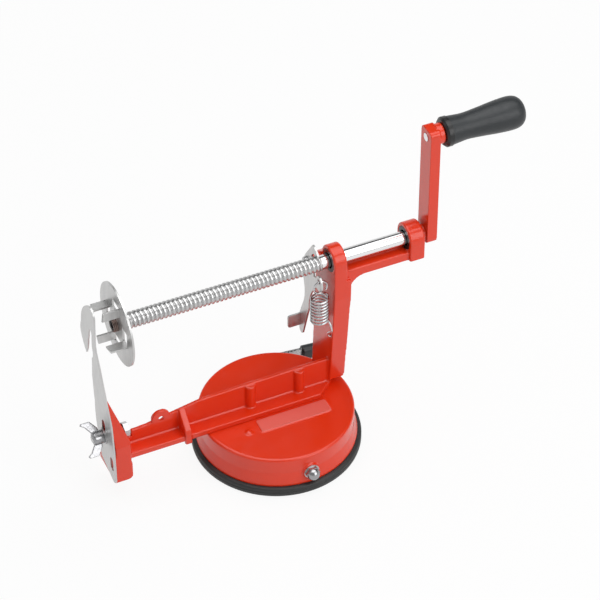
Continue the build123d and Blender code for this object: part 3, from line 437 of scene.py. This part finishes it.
def cast_skin(frame: dict, node: str, name: str, voxel_mm: float, passes: int) -> bpy.types.Object:
    """Copy a cast node and soften all its edges as a casting's are.

    Args:
        frame: The loaded frame.
        node: Node to copy.
        name: Name of the piece.
        voxel_mm: Size of the working grid.
        passes: Smoothing passes.

    Returns:
        The softened piece.
    """
    piece = copied(frame, node, name)
    remesh = piece.modifiers.new("grid", "REMESH")
    remesh.mode = "VOXEL"
    remesh.voxel_size = voxel_mm * MM
    remesh.use_smooth_shade = True
    soften = piece.modifiers.new("soften", "SMOOTH")
    soften.factor = 0.5
    soften.iterations = passes
    settle(piece)
    flatten_to(piece, frame["nodes"][node], *snap_reach(voxel_mm))
    return piece


def join_rings(work: bmesh.types.BMesh, rings: Sequence[Sequence[bmesh.types.BMVert]]) -> None:
    """Lay faces between each ring and the next.

    Args:
        work: The mesh under construction.
        rings: Rings of equally many points, in order.
    """
    for low, high in zip(rings, rings[1:]):
        for side in range(len(low)):
            after = (side + 1) % len(low)
            work.faces.new((low[side], low[after], high[after], high[side]))


def round_shaft(x: float, radius: float, angle: float, lift: float = 0.0) -> Point:
    """Point at a radius and an angle round the shaft or a line over it.

    Args:
        x: Place along the shaft in millimetres.
        radius: Radius in millimetres.
        angle: Angle from +Y towards +Z.
        lift: Height of the line over the shaft in millimetres.

    Returns:
        The point in metres.
    """
    y = SHAFT_Y + radius * math.cos(angle)
    z = SHAFT_Z + lift + radius * math.sin(angle)
    return (x * MM, y * MM, z * MM)


def lathe(name: str, profile: Sequence[tuple[float, float]], lift: float, sides: int) -> bpy.types.Object:
    """Turn a closed outline of X and radius round a line over the shaft.

    Args:
        name: Name of the piece.
        profile: Points of X and radius in millimetres, from one end to the other and back.
        lift: Height of the line over the shaft in millimetres.
        sides: Sides of the turned form.

    Returns:
        The turned piece.
    """
    work = bmesh.new()
    rings = [[work.verts.new(round_shaft(x, radius, TURN * side / sides, lift)) for side in range(sides)]
             for x, radius in profile]
    join_rings(work, rings + rings[:1])
    bmesh.ops.recalc_face_normals(work, faces=work.faces)
    return finish_mesh(name, work)


def turned_up(name: str, profile: Sequence[tuple[float, float]], sides: int) -> bpy.types.Object:
    """Turn an outline of radius and height round the upright axis at the origin.

    Args:
        name: Name of the piece.
        profile: Points of radius and height in millimetres, from the axis out and back to it.
        sides: Sides of the turned form.

    Returns:
        The turned piece.
    """
    work = bmesh.new()
    angles = [TURN * side / sides for side in range(sides)]
    rings = [[work.verts.new((radius * math.cos(a) * MM, radius * math.sin(a) * MM, z * MM)) for a in angles]
             for radius, z in profile[1:-1]]
    join_rings(work, rings)
    for ring, z in ((rings[0], profile[0][1]), (rings[-1], profile[-1][1])):
        centre = work.verts.new((0.0, 0.0, z * MM))
        for side in range(sides):
            work.faces.new((centre, ring[side], ring[(side + 1) % sides]))
    bmesh.ops.recalc_face_normals(work, faces=work.faces)
    return finish_mesh(name, work, angle=35.0)


def finish_mesh(name: str, work: bmesh.types.BMesh, angle: float = 40.0) -> bpy.types.Object:
    """Turn a worked mesh into a smooth shaded piece whose sharp edges stay sharp.

    Args:
        name: Name of the piece.
        work: The mesh under construction.
        angle: Angle over which an edge stays sharp, in degrees.

    Returns:
        The piece.
    """
    limit = math.radians(angle)
    for face in work.faces:
        face.smooth = True
    for edge in work.edges:
        edge.smooth = not (len(edge.link_faces) == 2 and edge.calc_face_angle(0.0) > limit)
    mesh = bpy.data.meshes.new(name)
    work.to_mesh(mesh)
    work.free()
    return put(name, mesh)


def dress(piece: bpy.types.Object, finish: bpy.types.Material) -> None:
    """Give a piece one finish in all its slots.

    Args:
        piece: Piece to dress.
        finish: Its material.
    """
    if not piece.material_slots:
        piece.data.materials.append(finish)
    for material_slot in piece.material_slots:
        material_slot.material = finish


def stand_for(piece: bpy.types.Object, node: str, body: str) -> None:
    """Let a dressed piece stand for a node and ride on its body.

    Args:
        piece: The new piece.
        node: Node that it stands for.
        body: Body that it rides on.
    """
    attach(piece, body)
    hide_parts(node)
    LOG.info("%s stands for %s on %s", piece.name, node, body)


def eased(points: Sequence[tuple[float, float]], steps: int) -> list[tuple[float, float]]:
    """Smooth curve through points by Catmull-Rom spans.

    Args:
        points: Points to pass through.
        steps: Steps in each span.

    Returns:
        The points of the curve.
    """
    out = []
    ends = [points[0], *points, points[-1]]
    for before, start, end, after in zip(ends, ends[1:], ends[2:], ends[3:]):
        for step in range(steps):
            t = step / steps
            out.append(tuple(
                0.5 * (2 * b + (c - a) * t + (2 * a - 5 * b + 4 * c - d) * t * t + (3 * b - a - 3 * c + d) * t ** 3)
                for a, b, c, d in zip(before, start, end, after)))
    out.append(points[-1])
    return out


# --- Sub-assemblies -------------------------------------------------------


@dataclass
class SuctionBase:
    """Rubber pad, cast drum and the stem inside it."""

    frame: dict
    finishes: Finishes
    voxel_mm: float = 0.65
    passes: int = 4
    # Box of the raised pad on the drum's top whose faces get the painted highlight.
    highlight_panel_x: tuple[float, float] = (-21.0, 36.0)
    highlight_panel_y: tuple[float, float] = (-22.6, -9.6)
    highlight_panel_z: tuple[float, float] = (33.5, 38.5)
    pad_sides: int = 144
    pad_grooves: tuple[float, ...] = (30.0, 42.0, 53.0)
    pad_rim: tuple[tuple[float, float], ...] = (
        (62.4, 0.0), (63.8, 0.4), (64.7, 1.3), (65.0, 2.6), (65.0, 4.4), (64.6, 4.7), (64.6, 5.0), (65.0, 5.3),
        (65.0, 6.6), (64.7, 7.5), (64.0, 8.1), (63.0, 8.4), (56.3, 8.4), (56.0, 8.1), (56.0, 3.0), (55.6, 2.4))

    def pad(self) -> bpy.types.Object:
        """Build the rubber pad with its thick rim and the sealing grooves below.

        Returns:
            The turned pad.
        """
        outline = [(0.0, 0.0)]
        for start in self.pad_grooves:
            outline += [(start, 0.0), (start + 0.4, 0.5), (start + 2.0, 0.5), (start + 2.4, 0.0)]
        return turned_up("rubber_pad", [*outline, *self.pad_rim, (0.0, 2.4)], self.pad_sides)

    def paint_panel_highlight(self, drum: bpy.types.Object) -> None:
        """Paint a highlight on the raised pad on the drum's top: a paler pink enamel stands in for the light that the
        pad catches.

        Args:
            drum: The softened and dressed drum.
        """
        drum.data.materials.append(self.finishes.panel)
        low, high = (Vector(corner) * MM for corner in zip(self.highlight_panel_x, self.highlight_panel_y, self.highlight_panel_z))
        # Faces inside the box take the painted highlight.
        for face in drum.data.polygons:
            if all(a <= b <= c for a, b, c in zip(low, face.center, high)):
                face.material_index = 1

    def build(self) -> None:
        """Build the pad, soften the drum and dress the stem."""
        drum = cast_skin(self.frame, "base_drum", "drum_casting", self.voxel_mm, self.passes)
        dress(drum, self.finishes.enamel)
        stand_for(drum, "base_drum", "base")
        self.paint_panel_highlight(drum)
        pad = self.pad()
        dress(pad, self.finishes.rubber)
        stand_for(pad, "suction_pad", "base")
        dress(self.frame["nodes"]["pull_stem"], self.finishes.black)


@dataclass
class ClampLever:
    """Cam axle with its acorn nut at the front and its lever behind the drum."""

    frame: dict
    finishes: Finishes
    voxel_mm: float = 0.5
    passes: int = 4

    def build(self) -> None:
        """Dress the axle, washer, lever and nut, and soften the grip."""
        nodes = self.frame["nodes"]
        for node in ("cam_axle", "lever_arm", "axle_washer"):
            dress(nodes[node], self.finishes.zinc)
        dress(nodes["axle_nut"], self.finishes.nut)
        sleeve = cast_skin(self.frame, "lever_grip", "lever_sleeve", self.voxel_mm, self.passes)
        dress(sleeve, self.finishes.grip)
        stand_for(sleeve, "lever_grip", "lever")


@dataclass
class CastFrame:
    """The one casting that holds everything above the drum, with its screws and bushes."""

    frame: dict
    finishes: Finishes
    voxel_mm: float = 0.6
    passes: int = 5

    def build(self) -> None:
        """Soften the casting, and dress the screws and bushes."""
        casting = cast_skin(self.frame, "frame_casting", "beam_casting", self.voxel_mm, self.passes)
        dress(casting, self.finishes.enamel)
        stand_for(casting, "frame_casting", "base")
        nodes = self.frame["nodes"]
        dress(nodes["frame_screws"], self.finishes.zinc)
        for node in ("front_bush", "rear_bush"):
            dress(nodes[node], self.finishes.black)


@dataclass
class FeedShaft:
    """Plated tube with its rolled thread, and the fork disc."""

    frame: dict
    finishes: Finishes
    start_x: float = -125.3
    end_x: float = 130.5
    radius: float = 5.4
    bore: float = 4.1
    thread_end_x: float = 38.7
    pitch: float = 3.35
    turns: int = 46
    root: float = 5.28
    crest: float = 6.24
    catch_x: float = 36.0
    sides: int = 56
    rings_per_turn: int = 16
    groove_sharpness: float = 3.0
    stub_end_x: float = -121.6
    stub_pitch: float = 1.25
    stub_depth: float = 0.4
    stub_rings: int = 30
    end_trim: float = 0.3

    def radius_at(self, x: float, angle: float) -> float:
        """Radius of the tube's surface.

        Args:
            x: Place along the shaft in millimetres.
            angle: Angle round the shaft, from +Y towards +Z.

        Returns:
            The radius in millimetres.
        """
        if x < self.stub_end_x:
            fine = TURN * (x - self.start_x) / self.stub_pitch - angle
            return self.radius - 0.5 * self.stub_depth * (1.0 - math.cos(fine))
        phase = TURN * (x - self.catch_x) / self.pitch + math.pi / 2 - angle
        groove = (0.5 + 0.5 * math.cos(phase)) ** self.groove_sharpness
        thread = self.crest - (self.crest - self.root) * groove
        first = self.thread_end_x - self.turns * self.pitch
        inside = min(x - first, self.thread_end_x - x)
        share = max(0.0, min(1.0, inside / self.pitch))
        return self.radius + (thread - self.radius) * share

    def tube(self) -> bpy.types.Object:
        """Build the tube with its thread, hollow to its ends.

        Returns:
            The tube, with one finish for each of its three lengths.
        """
        first = self.thread_end_x - self.turns * self.pitch
        stub = self.stub_end_x - self.start_x
        count = self.turns * self.rings_per_turn
        stations = [self.start_x + stub * step / self.stub_rings for step in range(self.stub_rings + 1)]
        stations += [first + (self.thread_end_x - first) * step / count for step in range(count + 1)]
        stations += [self.end_x]
        angles = [TURN * side / self.sides for side in range(self.sides)]
        work = bmesh.new()
        rings = []
        for index, x in enumerate(stations):
            trim = self.end_trim if index == 0 else 0.0
            rings.append([work.verts.new(round_shaft(x, self.radius_at(x, angle) - trim, angle)) for angle in angles])
        for x in (self.end_x, self.start_x):
            rings.append([work.verts.new(round_shaft(x, self.bore, angle)) for angle in angles])
        join_rings(work, rings + rings[:1])
        bmesh.ops.recalc_face_normals(work, faces=work.faces)
        piece = finish_mesh("threaded_tube", work, angle=50.0)
        for finish in (self.finishes.turned, self.finishes.stub, self.finishes.thread):
            piece.data.materials.append(finish)
        for face in piece.data.polygons:
            if face.center.x < self.stub_end_x * MM:
                face.material_index = 1
            elif face.center.x < self.thread_end_x * MM:
                face.material_index = 2
        return piece

    def build(self) -> None:
        """Build the tube and dress the disc."""
        stand_for(self.tube(), "feed_tube", "feed_shaft")
        dress(self.frame["nodes"]["fork_disc"], self.finishes.sheet)


@dataclass
class Crank:
    """Crank arm, its pin, and the grip that turns on it."""

    frame: dict
    finishes: Finishes
    radius: float = 90.0
    voxel_mm: float = 0.5
    passes: int = 5
    cavity: float = 8.0
    pin_gap: float = 3.26
    head_gap: float = 5.55
    steps: int = 8
    sides: int = 72
    waist: tuple[tuple[float, float], ...] = ((0.0, 11.0), (6.0, 10.4), (14.0, 9.9), (26.0, 10.8))
    bulb: tuple[tuple[float, float], ...] = ((22.0, 12.0), (11.0, 12.6), (5.0, 11.8), (1.6, 9.6), (0.0, 7.0))

    def grip(self, start: float, end: float) -> bpy.types.Object:
        """Build the waisted grip, hollow for its pin.

        Args:
            start: X of its inner end in millimetres.
            end: X of its outer end in millimetres.

        Returns:
            The turned grip.
        """
        knots = [(start + along, radius) for along, radius in self.waist]
        knots += [(end - back, radius) for back, radius in self.bulb]
        inner = [(end, self.head_gap), (end - self.cavity, self.head_gap),
                 (end - self.cavity, self.pin_gap), (start, self.pin_gap)]
        return lathe("waisted_grip", eased(knots, self.steps) + inner, self.radius, self.sides)

    def build(self) -> None:
        """Build the grip, soften the arm, and dress the pin and collar."""
        arm = cast_skin(self.frame, "crank_arm", "crank_casting", self.voxel_mm, self.passes)
        dress(arm, self.finishes.enamel)
        stand_for(arm, "crank_arm", "feed_shaft")
        box_low, box_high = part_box("crank_grip")
        grip = self.grip(box_low.x / MM, box_high.x / MM)
        dress(grip, self.finishes.grip)
        stand_for(grip, "crank_grip", "grip")
        dress(self.frame["nodes"]["grip_pin"], self.finishes.chrome)
        dress(self.frame["nodes"]["grip_collar"], self.finishes.black)


@dataclass
class SlicingBlade:
    """Spiral blade with its bolt, washer and wing nut."""

    frame: dict
    finishes: Finishes
    voxel_mm: float = 0.3
    passes: int = 5

    def build(self) -> None:
        """Dress the blade, bolt and washer, and soften the wing nut."""
        nodes = self.frame["nodes"]
        dress(nodes["spiral_blade"], self.finishes.sheet)
        dress(nodes["blade_bolt"], self.finishes.zinc)
        dress(nodes["clamp_washer"], self.finishes.zinc)
        wing = cast_skin(self.frame, "wing_nut", "wing_nut_casting", self.voxel_mm, self.passes)
        dress(wing, self.finishes.nut)
        stand_for(wing, "wing_nut", "wing")


@dataclass
class ThreadCatch:
    """Catch plate on its screw, with the tension spring that pulls it down."""

    frame: dict
    finishes: Finishes
    wire_radius: float = 0.8
    coil_radius: float = 6.4
    coil_turns: float = 8.0
    coil_pitch: float = 2.96
    coil_bottom: float = 105.6
    coil_x: float = 36.0
    coil_y: float = 0.4
    ring_radius: float = 5.5
    ring_x: float = 36.8
    ring_y: float = 0.6
    ring_z: float = 138.6
    ring_turn: float = 310.0
    post_x: float = 45.5
    anchor_y: float = 0.0
    anchor_z: float = 87.5
    anchor_bend: float = 2.4
    tail_bow: Point = (43.4, -5.4, 98.5)
    tail_way: Point = (0.0, 0.25, 0.97)
    knots_per_turn: int = 8
    handle_share: float = 0.345
    blend_margin: float = 4.0

    def tail(self) -> list[tuple[Vector, Vector]]:
        """Points and directions of the wire from its end in the post to its bow.

        Returns:
            Pairs of a point in millimetres and a unit direction.
        """
        y = self.anchor_y
        z = self.anchor_z
        knee = self.post_x - 0.4
        inward = Vector((-1, 0, 0))
        return [
            (Vector((self.post_x + 2.6, y, z)), inward),
            (Vector((knee, y, z)), inward),
            (Vector((knee - self.anchor_bend, y, z + self.anchor_bend)), Vector((0, 0, 1))),
            (Vector(self.tail_bow), Vector(self.tail_way).normalized()),
        ]

    def coil(self) -> list[tuple[Vector, Vector]]:
        """Points and directions of the wire through its coil.

        Returns:
            Pairs of a point in millimetres and a unit direction.
        """
        out = []
        slope = self.coil_pitch / (TURN * self.coil_radius)
        for step in range(int(self.coil_turns * self.knots_per_turn) + 1):
            angle = TURN * step / self.knots_per_turn
            across = math.cos(angle)
            along = math.sin(angle)
            point = Vector((self.coil_x + self.coil_radius * across, self.coil_y + self.coil_radius * along,
                            self.coil_bottom + self.coil_pitch * step / self.knots_per_turn))
            out.append((point, Vector((-along, across, slope)).normalized()))
        return out

    def ring(self) -> list[tuple[Vector, Vector]]:
        """Points and directions of the wire round the ring in the catch's ear, from its lowest point.

        Returns:
            Pairs of a point in millimetres and a unit direction.
        """
        out = []
        for degrees in [*range(0, int(self.ring_turn), 360 // self.knots_per_turn), self.ring_turn]:
            left = math.sin(math.radians(degrees))
            down = math.cos(math.radians(degrees))
            point = Vector((self.ring_x - self.ring_radius * left, self.ring_y,
                            self.ring_z - self.ring_radius * down))
            out.append((point, Vector((-down, 0, left))))
        return out

    def spring(self) -> bpy.types.Object:
        """Build the spring as one unbroken wire, from its tail to its ring.

        Returns:
            The spring's piece.
        """
        curve = bpy.data.curves.new("catch_spring_wire", "CURVE")
        curve.dimensions = "3D"
        curve.bevel_depth = self.wire_radius * MM
        curve.bevel_resolution = 4
        curve.resolution_u = 5
        curve.use_fill_caps = True
        stations = self.tail() + self.coil() + self.ring()
        spline = curve.splines.new("BEZIER")
        spline.bezier_points.add(len(stations) - 1)
        for index, (point, way) in enumerate(stations):
            knot = spline.bezier_points[index]
            knot.co = point * MM
            before = (stations[index - 1][0] - point).length if index else 1.0
            after = (stations[index + 1][0] - point).length if index + 1 < len(stations) else 1.0
            knot.handle_left_type = "FREE"
            knot.handle_right_type = "FREE"
            knot.handle_left = (point - way * before * self.handle_share) * MM
            knot.handle_right = (point + way * after * self.handle_share) * MM
        line = put("wire_route", curve)
        graph = bpy.context.evaluated_depsgraph_get()
        mesh = bpy.data.meshes.new_from_object(line.evaluated_get(graph))
        bpy.data.objects.remove(line)
        work = bmesh.new()
        work.from_mesh(mesh)
        return finish_mesh("hanging_spring", work, angle=60.0)

    def build(self) -> None:
        """Build the spring and dress the plate and its screw."""
        spring = self.spring()
        dress(spring, self.finishes.wire)
        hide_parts("catch_spring")
        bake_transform(spring)
        nodes = self.frame["nodes"]
        dress(nodes["catch_plate"], self.finishes.sheet)
        dress(nodes["catch_pivot_screw"], self.finishes.zinc)


@dataclass
class Studio:
    """Camera, floor and soft lights."""

    focal_px: float = 2770.0
    frame_px: float = 600.0
    azimuth: float = -24.483
    elevation: float = 42.008
    eye: Point = (-0.6068, -1.3763, 1.4949)
    lamp_aim: Point = (0.0, 0.0, 0.1)
    floor_size: float = 6.0
    floor_grey: float = 0.93
    floor_roughness: float = 0.9
    floor_white: float = 0.9
    floor_gloss: float = 0.6
    room_light: float = 0.30
    room_back: Point = (0.41, 0.91, 0.0)
    room_stops: tuple[tuple[float, float], ...] = (
        (0.5, 0.85), (24.0, 0.7), (31.0, 0.05), (62.0, 0.05), (70.0, 0.9), (98.0, 1.0), (118.0, 0.45), (150.0, 0.4),
        (179.5, 0.8))

    def camera(self) -> None:
        """Stand the camera where the photograph was taken."""
        data = bpy.data.cameras.new("studio_camera")
        data.sensor_width = 36.0
        data.lens = self.focal_px / self.frame_px * data.sensor_width
        data.clip_end = 20.0
        camera = bpy.data.objects.new("studio_camera", data)
        camera.location = self.eye
        camera.rotation_euler = (math.radians(90.0 - self.elevation), 0.0, math.radians(self.azimuth))
        bpy.context.scene.collection.objects.link(camera)
        bpy.context.scene.camera = camera

    def lamp(self, name: str, place: Point, size: float, power: float) -> None:
        """Hang one square soft lamp that faces the cutter.

        Args:
            name: Name of the lamp.
            place: Where it hangs, in metres.
            size: Side of the lamp in metres.
            power: Power in watts.
        """
        data = bpy.data.lights.new(name, "AREA")
        data.size = size
        data.energy = power
        light = bpy.data.objects.new(name, data)
        light.location = place
        light.rotation_euler = (Vector(self.lamp_aim) - Vector(place)).to_track_quat("-Z", "Y").to_euler()
        bpy.context.scene.collection.objects.link(light)

    def floor(self) -> None:
        """Lay a pale floor that shows white to the camera and keeps a soft shadow."""
        work = bmesh.new()
        bmesh.ops.create_grid(work, x_segments=1, y_segments=1, size=self.floor_size)
        plane = finish_mesh("studio_floor", work)
        material = bpy.data.materials.new("pale_floor")
        material.use_nodes = True
        nodes = material.node_tree.nodes
        links = material.node_tree.links
        shader = nodes["Principled BSDF"]
        shader.inputs["Base Color"].default_value = (self.floor_grey, self.floor_grey, self.floor_grey, 1.0)
        shader.inputs["Roughness"].default_value = self.floor_roughness
        white = nodes.new("ShaderNodeEmission")
        white.inputs["Strength"].default_value = 1.0
        path = nodes.new("ShaderNodeLightPath")
        seen = nodes.new("ShaderNodeMath")
        seen.operation = "MULTIPLY"
        seen.inputs[1].default_value = self.floor_white
        links.new(path.outputs["Is Camera Ray"], seen.inputs[0])
        share = nodes.new("ShaderNodeMath")
        share.operation = "MULTIPLY_ADD"
        share.inputs[1].default_value = self.floor_gloss
        links.new(path.outputs["Is Glossy Ray"], share.inputs[0])
        links.new(seen.outputs["Value"], share.inputs[2])
        mix = nodes.new("ShaderNodeMixShader")
        links.new(share.outputs["Value"], mix.inputs[0])
        links.new(shader.outputs["BSDF"], mix.inputs[1])
        links.new(white.outputs["Emission"], mix.inputs[2])
        links.new(mix.outputs["Shader"], nodes["Material Output"].inputs["Surface"])
        dress(plane, material)

    def world(self) -> None:
        """Fill the room with plain light that is white to the camera and banded in reflections."""
        world = bpy.data.worlds.new("studio_room")
        world.use_nodes = True
        nodes = world.node_tree.nodes
        links = world.node_tree.links
        path = nodes.new("ShaderNodeLightPath")
        seen = nodes.new("ShaderNodeMapRange")
        seen.inputs["To Min"].default_value = self.room_light
        seen.inputs["To Max"].default_value = 1.0
        links.new(path.outputs["Is Camera Ray"], seen.inputs["Value"])
        mirror = nodes.new("ShaderNodeMix")
        links.new(path.outputs["Is Glossy Ray"], mirror.inputs["Factor"])
        links.new(seen.outputs["Result"], mirror.inputs["A"])
        links.new(self.room_band(world), mirror.inputs["B"])
        background = nodes["Background"]
        background.inputs["Color"].default_value = (1.0, 1.0, 1.0, 1.0)
        links.new(mirror.outputs["Result"], background.inputs["Strength"])
        bpy.context.scene.world = world

    def room_band(self, world: bpy.types.World) -> bpy.types.NodeSocket:
        """Brightness of the room in reflections, by direction.

        Args:
            world: World whose nodes take it.

        Returns:
            Pale grey low at the back, a dark band over that, white overhead and grey in front.
        """
        nodes = world.node_tree.nodes
        links = world.node_tree.links
        direction = nodes.new("ShaderNodeTexCoord").outputs["Generated"]
        back = nodes.new("ShaderNodeVectorMath")
        back.operation = "DOT_PRODUCT"
        back.inputs[1].default_value = self.room_back
        links.new(direction, back.inputs[0])
        angle = nodes.new("ShaderNodeMath")
        angle.operation = "ARCTAN2"
        height = nodes.new("ShaderNodeSeparateXYZ")
        links.new(direction, height.inputs[0])
        links.new(height.outputs["Z"], angle.inputs[0])
        links.new(back.outputs["Value"], angle.inputs[1])
        turn = nodes.new("ShaderNodeMapRange")
        turn.inputs["From Max"].default_value = math.pi
        links.new(angle.outputs["Value"], turn.inputs["Value"])
        ramp = nodes.new("ShaderNodeValToRGB")
        stops = ramp.color_ramp.elements
        for place, level in self.room_stops:
            stop = stops.new(place / 180.0)
            stop.color = (level, level, level, 1.0)
        stops.remove(stops[0])
        stops.remove(stops[-1])
        links.new(turn.outputs["Result"], ramp.inputs["Fac"])
        return ramp.outputs["Color"]

    def build(self) -> None:
        """Set up the whole studio."""
        self.camera()
        self.floor()
        self.world()
        self.lamp("top_softbox", (0.2, 0.2, 1.95), 2.1, 25.0)
        self.lamp("front_softbox", (0.75, -1.5, 1.05), 1.3, 13.5)


def main() -> None:
    """Build every sub-assembly in order."""
    logging.basicConfig(level=logging.INFO, format="%(name)s: %(message)s")
    bpy.context.scene.view_settings.view_transform = "Standard"
    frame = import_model()
    finishes = Finishes()
    assemblies = (SuctionBase(frame, finishes), ClampLever(frame, finishes), CastFrame(frame, finishes),
                  FeedShaft(frame, finishes), Crank(frame, finishes), SlicingBlade(frame, finishes),
                  ThreadCatch(frame, finishes))
    for assembly in assemblies:
        assembly.build()
        LOG.info("%s is built", type(assembly).__name__)
    Studio().build()
    bpy.context.view_layer.update()


if __name__ == "__main__":
    main()
